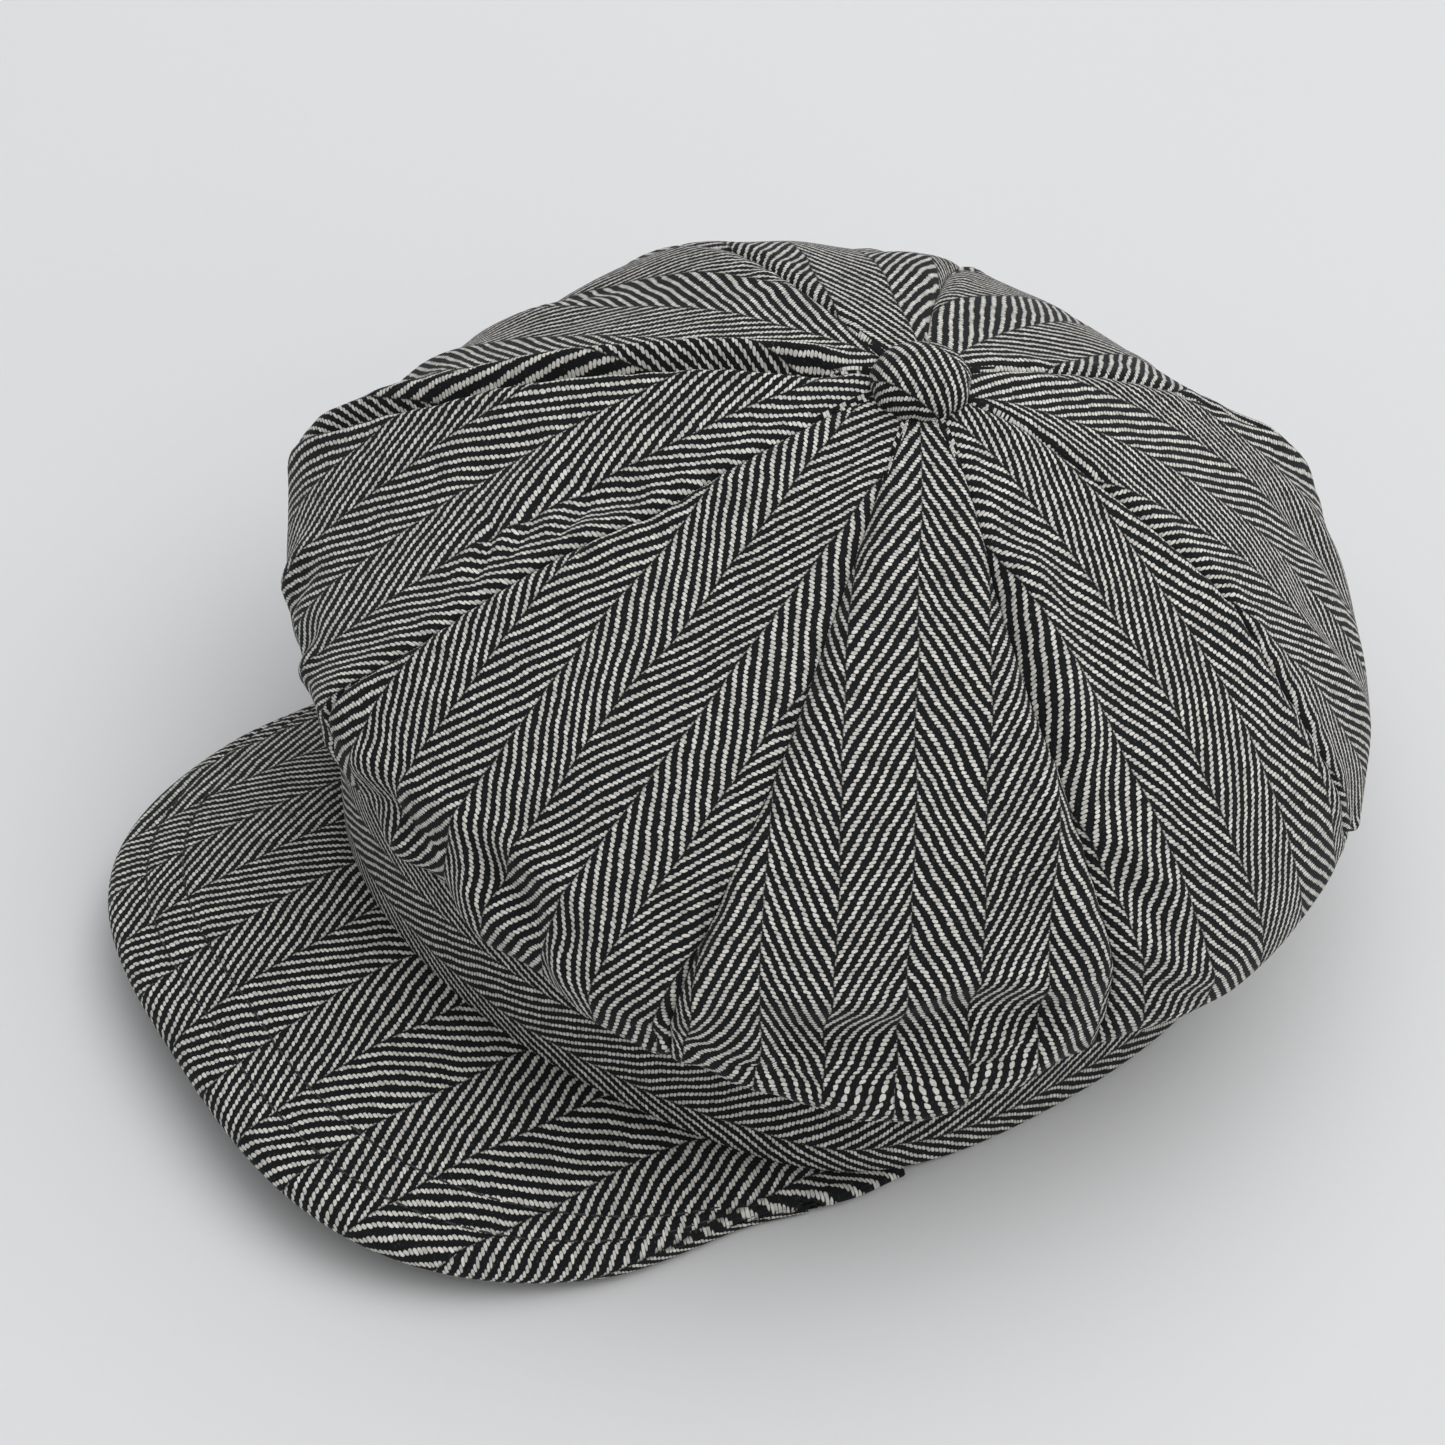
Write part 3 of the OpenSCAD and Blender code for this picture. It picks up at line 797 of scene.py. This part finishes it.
allu = np.stack([bu + 19.3, bv], -1).reshape(-1, 2) * .01
uvl.foreach_set("uv", allu[vi].astype(np.float32).ravel())
# close the small hole at the middle
import bmesh
bm = bmesh.new()
bm.from_mesh(me)
lay = bm.loops.layers.uv["weave"]
edges = [e for e in bm.edges if e.is_boundary and all(math.hypot(v.co.x, v.co.y - BACK * MM) < .002 for v in e.verts)]
made = bmesh.ops.holes_fill(bm, edges=edges, sides=0)
for f in made["faces"]:
    for l in f.loops:
        x, y = (l.vert.co.x / MM), (l.vert.co.y / MM - BACK)
        a = math.atan2(y, x) + phi
        l[lay].uv = ((math.hypot(x, y) * math.cos(a) + 19.3) * .01, math.hypot(x, y) * math.sin(a) * .01)
tri = bmesh.ops.poke(bm, faces=made["faces"])
bmesh.ops.recalc_face_normals(bm, faces=bm.faces)
bm.to_mesh(me)
bm.free()
me.polygons.foreach_set("use_smooth", np.ones(len(me.polygons), bool))
thicken(button, .8)
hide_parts("button_cloth")


# ------------------------------------------------------------------ materials
class X:
    """A number in a node tree, so that a formula can be written as one."""
    tree = None

    def __init__(self, s):
        self.s = s

    @staticmethod
    def op(kind, *args, clamp=False):
        n = X.tree.nodes.new("ShaderNodeMath")
        n.operation = kind
        n.use_clamp = clamp
        for i, a in enumerate(args):
            if isinstance(a, X):
                X.tree.links.new(a.s, n.inputs[i])
            else:
                n.inputs[i].default_value = a
        return X(n.outputs[0])

    def __add__(a, b): return X.op("ADD", a, b)
    def __radd__(a, b): return X.op("ADD", a, b)
    def __sub__(a, b): return X.op("SUBTRACT", a, b)
    def __rsub__(a, b): return X.op("SUBTRACT", b, a)
    def __mul__(a, b): return X.op("MULTIPLY", a, b)
    def __rmul__(a, b): return X.op("MULTIPLY", a, b)
    def __truediv__(a, b): return X.op("DIVIDE", a, b)
    def __pow__(a, b): return X.op("POWER", a, b)
    def floor(a): return X.op("FLOOR", a)
    def frac(a): return X.op("FRACT", a)
    def mod(a, b): return X.op("FLOORED_MODULO", a, b)
    def abs(a): return X.op("ABSOLUTE", a)
    def clamp(a): return X.op("ADD", a, 0.0, clamp=True)


def new_material(name):
    m = bpy.data.materials.new(name)
    m.use_nodes = True
    X.tree = m.node_tree
    b = m.node_tree.nodes["Principled BSDF"]
    return m, m.node_tree, b


def flat_uv(tree):
    """Flat-pattern coordinates in mm."""
    n = tree.nodes.new("ShaderNodeUVMap")
    n.uv_map = "weave"
    sep = tree.nodes.new("ShaderNodeSeparateXYZ")
    tree.links.new(n.outputs["UV"], sep.inputs[0])
    return X(sep.outputs[0]) * 100.0, X(sep.outputs[1]) * 100.0


def vec(tree, x, y, z=0.0):
    n = tree.nodes.new("ShaderNodeCombineXYZ")
    for i, a in enumerate((x, y, z)):
        if isinstance(a, X):
            tree.links.new(a.s, n.inputs[i])
        else:
            n.inputs[i].default_value = a
    return n.outputs[0]


def cloud(tree, vector, scale, detail=2.0, rough=.5):
    n = tree.nodes.new("ShaderNodeTexNoise")
    n.inputs["Scale"].default_value = scale
    n.inputs["Detail"].default_value = detail
    n.inputs["Roughness"].default_value = rough
    tree.links.new(vector, n.inputs["Vector"])
    sep = tree.nodes.new("ShaderNodeSeparateColor")
    tree.links.new(n.outputs["Color"], sep.inputs[0])
    return X(n.outputs[0]), X(sep.outputs[0]), X(sep.outputs[1]), X(sep.outputs[2])


def dice(tree, x, y, z):
    n = tree.nodes.new("ShaderNodeTexWhiteNoise")
    n.noise_dimensions = "3D"
    tree.links.new(vec(tree, x, y, z), n.inputs["Vector"])
    return X(n.outputs["Value"])


def blend_colour(tree, factor, a, b):
    n = tree.nodes.new("ShaderNodeMix")
    n.data_type = "RGBA"
    tree.links.new(factor.s, n.inputs[0])
    for socket, c in ((n.inputs[6], a), (n.inputs[7], b)):
        if isinstance(c, tuple):
            socket.default_value = (*c, 1)
        else:
            tree.links.new(c, socket)
    return n.outputs[2]


def scale_colour(tree, colour, factor):
    n = tree.nodes.new("ShaderNodeVectorMath")
    n.operation = "SCALE"
    if isinstance(colour, tuple):
        n.inputs[0].default_value = colour
    else:
        tree.links.new(colour, n.inputs[0])
    tree.links.new(factor.s, n.inputs["Scale"])
    return n.outputs[0]


def bump(tree, b, height, distance, strength=1.0, under=None):
    n = tree.nodes.new("ShaderNodeBump")
    n.inputs["Distance"].default_value = distance
    n.inputs["Strength"].default_value = strength
    tree.links.new(height.s, n.inputs["Height"])
    if under is not None:
        tree.links.new(under, n.inputs["Normal"])
    if b is not None:
        tree.links.new(n.outputs[0], b.inputs["Normal"])
    return n.outputs[0]


WHITE_YARN = (0.80, 0.775, 0.72)
BLACK_YARN = (0.0110, 0.0124, 0.0130)


def herringbone():
    m, tree, b = new_material("herringbone_wool")
    u0, v0 = flat_uv(tree)
    place = vec(tree, u0, v0)
    _, wr, wg, _ = cloud(tree, place, .045, 1.0)
    _, fr, fg, fb = cloud(tree, place, .33, 2.0)
    _, hr, hg, hb = cloud(tree, place, 1.9, 2.0, .6)
    _, mr, mg, mb = cloud(tree, place, .13, 1.5)
    u = u0 + (wr - .5) * 2.6 + (mr - .5) * .7 + (fr - .5) * .45 + (hr - .5) * .22
    v = v0 + (wg - .5) * 2.6 + (mg - .5) * .9 + (fg - .5) * .60 + (hg - .5) * .28
    x = u / 13.8
    n, f = x.floor(), x.frac()
    par = n.mod(2.0)
    d = 1.0 - par * 2.0
    e = f * 13.8
    # rows of short slanting floats, six to each repeat of the twill line
    r = (v + d * e * .30) / .678
    j = r.floor()
    w = r.frac() - .5
    line = (j + .5) * .678 + d * e * 1.467 + par * 2.035
    a = X.op("WRAP", line, 2.035, -2.035)
    float_id = (line / 4.07 + .5).floor()
    chance = dice(tree, n, j, float_id)
    chance2 = dice(tree, j, float_id, n + .5)
    a = a + (chance2 - .5) * .30
    reach = (.525 + chance * .18) * 1.467
    white = (1.0 - (a.abs() / reach) ** 2.6 - (w.abs() * 2.0) ** 2.6 * 1.02) * 3.2
    white = white.clamp()
    # a thin dark line where the columns meet
    edge = 1.0 - X.op("MINIMUM", e, 13.8 - e) / .42
    edge = edge.clamp() * .75
    white = white * (1.0 - edge)
    # fibres of one yarn over the other
    stray = ((hb - .60) * 3.2).clamp()
    fuzz = (white * (1.0 - stray * .35) + stray * .10).clamp()
    tone_white = .84 + (chance2 - .5) * .30 + (hg - .5) * .55 + (fb - .5) * .25 + (mb - .5) * .30
    warp = ((e / .43).frac() - .5).abs() * 2.0
    # the black yarns are painted lighter along their middles and darker at their sides: a painted highlight and painted
    # shade on each round yarn, with random tone and stray white fibres on top
    black_tone_and_painted_highlight = (1.0 - warp * .45) * (.75 + fb * .6) + stray * .9
    light = scale_colour(tree, WHITE_YARN, tone_white)
    dark = scale_colour(tree, BLACK_YARN, black_tone_and_painted_highlight)
    tree.links.new(blend_colour(tree, fuzz, dark, light), b.inputs["Base Color"])
    rough = .86 + hr * .12
    tree.links.new(rough.s, b.inputs["Roughness"])
    b.inputs["Specular IOR Level"].default_value = .18
    b.inputs["Sheen Weight"].default_value = .06
    b.inputs["Sheen Roughness"].default_value = .45
    b.inputs["Sheen Tint"].default_value = (.86, .87, .9, 1)
    height = white * (1.0 - (w.abs() * 2.0) ** 2.0 * .45) + (1.0 - white) * (1.0 - warp ** 2.0) * .45 + (hr - .5) * .5
    bump(tree, b, height, .00013, .75)
    return m


def satin(name, colour, ends, picks, spec, rough, sheen=.1, wave=.0):
    """A fine woven lining or tape; ends and picks are in mm."""
    m, tree, b = new_material(name)
    u, v = flat_uv(tree)
    place = vec(tree, u, v)
    _, r1, g1, b1 = cloud(tree, place, .12, 3.0)
    _, r2, g2, b2 = cloud(tree, place, 1.6, 2.0)
    u = u + (r1 - .5) * .4
    v = v + (g1 - .5) * .4
    xe, yp = u / ends, v / picks
    i, k = xe.floor(), yp.floor()
    over = ((i + k * 2.0).mod(5.0) - 1.0).abs()
    under = 1.0 - over.clamp()
    ridge = (1.0 - ((xe.frac() - .5).abs() * 2.0) ** 2.0) * (.55 + under * .45)
    # the colour is lighter on each yarn's crown, more so on the floats, and darker between yarns: a painted highlight
    # and painted shade that follow the yarn relief, plus random tone
    tone = .70 + ridge * .35 + (b1 - .5) * .5 + (b2 - .5) * .25
    tree.links.new(scale_colour(tree, colour, tone), b.inputs["Base Color"])
    tree.links.new((rough + (g2 - .5) * .2 + (1.0 - ridge) * .1).s, b.inputs["Roughness"])
    b.inputs["Specular IOR Level"].default_value = spec
    b.inputs["Sheen Weight"].default_value = sheen
    b.inputs["Sheen Roughness"].default_value = .5
    bump(tree, b, ridge + (r2 - .5) * .3, .00006, .7)
    return m


def felt(name, colour, contrast=.35, rough=.9):
    """Bonded fibres or pressed board, from the place in the frame."""
    m, tree, b = new_material(name)
    g = tree.nodes.new("ShaderNodeNewGeometry")
    _, r1, g1, b1 = cloud(tree, g.outputs["Position"], 900.0, 4.0, .6)
    _, r2, g2, b2 = cloud(tree, g.outputs["Position"], 120.0, 3.0)
    tone = 1.0 + (r1 - .5) * contrast + (r2 - .5) * contrast
    tree.links.new(scale_colour(tree, colour, tone), b.inputs["Base Color"])
    tree.links.new((rough + (g1 - .5) * .15).s, b.inputs["Roughness"])
    b.inputs["Specular IOR Level"].default_value = .25
    bump(tree, b, r1 + r2 * .6, .00012, .6)
    return m


def thread_material(name, colour):
    """Twisted thread: fine slanting plies."""
    m, tree, b = new_material(name)
    g = tree.nodes.new("ShaderNodeNewGeometry")
    sep = tree.nodes.new("ShaderNodeSeparateXYZ")
    tree.links.new(g.outputs["Position"], sep.inputs[0])
    x, y, z = (X(sep.outputs[i]) for i in range(3))
    ply = ((x + y * .8 + z * 1.3) * 2600.0).frac()
    ply = 1.0 - (ply - .5).abs() * 2.0
    _, r1, g1, b1 = cloud(tree, g.outputs["Position"], 1500.0, 3.0)
    # each ply is painted lighter along its crown and darker in the grooves between plies: a painted highlight and
    # painted shade, plus random tone
    tone = .55 + ply * .6 + (r1 - .5) * .5
    tree.links.new(scale_colour(tree, colour, tone), b.inputs["Base Color"])
    tree.links.new((.62 + g1 * .25).s, b.inputs["Roughness"])
    b.inputs["Specular IOR Level"].default_value = .3
    bump(tree, b, ply, .00006, .7)
    return m


def pressed_metal(name):
    m, tree, b = new_material(name)
    g = tree.nodes.new("ShaderNodeNewGeometry")
    _, r1, g1, b1 = cloud(tree, g.outputs["Position"], 300.0, 4.0)
    _, r2, g2, b2 = cloud(tree, g.outputs["Position"], 2500.0, 2.0)
    tone = .85 + (r1 - .5) * .4
    tree.links.new(scale_colour(tree, (.52, .52, .50), tone), b.inputs["Base Color"])
    b.inputs["Metallic"].default_value = 1.0
    tree.links.new((.34 + (g1 - .5) * .3 + r2 * .1).s, b.inputs["Roughness"])
    bump(tree, b, r2, .00003, .4)
    return m


def paper_floor():
    m, tree, b = new_material("pale_floor")
    g = tree.nodes.new("ShaderNodeNewGeometry")
    _, r1, g1, b1 = cloud(tree, g.outputs["Position"], 3.0, 3.0)
    _, r2, g2, b2 = cloud(tree, g.outputs["Position"], 700.0, 3.0)
    tone = 1.0 + (r1 - .5) * .05 + (r2 - .5) * .02
    tree.links.new(scale_colour(tree, (.80, .80, .806), tone), b.inputs["Base Color"])
    b.inputs["Roughness"].default_value = .85
    b.inputs["Specular IOR Level"].default_value = .2
    bump(tree, b, r2, .00005, .3)
    return m


def wear(o, m):
    o.data.materials.clear()
    o.data.materials.append(m)


wool = herringbone()
lining_mat = satin("lining_satin", (.030, .031, .036), .22, .30, .45, .38, .12)
tape_mat = satin("sweatband_twill", (.026, .026, .029), .45, .55, .25, .75, .2)
facing_mat = felt("bonded_interfacing", (.78, .76, .71))
board_mat = felt("peak_board_fibre", (.72, .70, .63), .2, .7)
thread_mat = thread_material("sewing_thread", (.050, .052, .055))
metal_mat = pressed_metal("button_tinplate")
for o in crown + [band, peak_over, peak_below, button]:
    wear(o, wool)
for o, _, _ in linings:
    wear(o, lining_mat)
wear(sweat, tape_mat)
wear(facing, facing_mat)
wear(board, board_mat)
wear(stitches, thread_mat)
for n, m in (("button_shell", metal_mat), ("button_plate", metal_mat), ("button_thread", thread_mat)):
    wear(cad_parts[n], m)

# ------------------------------------------------------------------ what each piece moves with
# The root of a real peak bends with the front of the band; here the pieces that meet there are only fixed in place, and
# the back gores, their linings and the button move with the cap.
front = [crown[i] for i in (0, 1, 6, 7)] + [linings[i][0] for i in (0, 1, 6, 7)]
for o in front + [band, facing, sweat, peak_over, peak_below, board, stitches]:
    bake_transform(o)
for o in [crown[i] for i in (2, 3, 4, 5)] + [linings[i][0] for i in (2, 3, 4, 5)] + [button]:
    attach(o, "cap")

# ------------------------------------------------------------------ floor, light and camera
mesh = bpy.data.meshes.new("floor")
bm = bmesh.new()
bmesh.ops.create_grid(bm, x_segments=24, y_segments=24, size=3.0)
bm.to_mesh(mesh)
bm.free()
floor = bpy.data.objects.new("floor", mesh)
bpy.context.scene.collection.objects.link(floor)
floor.location = (0, 0, -.0004)
wear(floor, paper_floor())

world = bpy.data.worlds.new("studio")
bpy.context.scene.world = world
world.use_nodes = True
bg = world.node_tree.nodes["Background"]
bg.inputs[0].default_value = (.96, .98, 1.0, 1)
bg.inputs[1].default_value = .36


def softbox(name, place, aim, size, power, colour):
    l = bpy.data.lights.new(name, "AREA")
    l.shape = "RECTANGLE"
    l.size, l.size_y = size
    l.energy = power
    l.color = colour
    o = bpy.data.objects.new(name, l)
    o.location = place
    o.rotation_euler = (Vector(aim) - Vector(place)).to_track_quat("-Z", "Y").to_euler()
    bpy.context.scene.collection.objects.link(o)
    return o


softbox("window", (-.25, 1.25, 2.6), (0, 0, .05), (4.8, 4.2), 50, (.98, .99, 1.0))
softbox("fill", (1.65, .40, 2.0), (0, 0, 0), (2.4, 2.4), 13, (1.0, .995, .985))
softbox("ceiling", (.1, .1, 2.2), (0, 0, 0), (3.2, 3.2), 14, (1.0, .995, .985))

view_az, view_el, scale, mid_x, mid_y, roll, near_by = 58.702, 46.784, 4.92201, 823.19, 696.86, -.8476, 1.08151
A, E, R = view_az * D, view_el * D, roll * D
back = Vector((math.sin(A) * math.cos(E), -math.cos(A) * math.cos(E), math.sin(E)))
right = Vector((math.cos(A), math.sin(A), 0))
up = back.cross(right)
dist = 1000 / near_by
focal = scale * dist
place = Vector((0, 0, 40)) + back * dist - right * ((mid_x - 722.5) / scale) + up * ((mid_y - 722.5) / scale)
r2, u2 = right * math.cos(R) - up * math.sin(R), right * math.sin(R) + up * math.cos(R)
cam_data = bpy.data.cameras.new("camera")
cam = bpy.data.objects.new("camera", cam_data)
bpy.context.scene.collection.objects.link(cam)
turn = Matrix((r2, u2, back)).transposed().to_4x4()
cam.matrix_world = Matrix.Translation(place * MM) @ turn
cam_data.sensor_width = 36
cam_data.sensor_fit = "HORIZONTAL"
cam_data.lens = focal / 1445 * 36
cam_data.clip_start, cam_data.clip_end = .05, 20
bpy.context.scene.camera = cam
bpy.context.scene.view_settings.view_transform = "Standard"

bpy.context.view_layer.update()
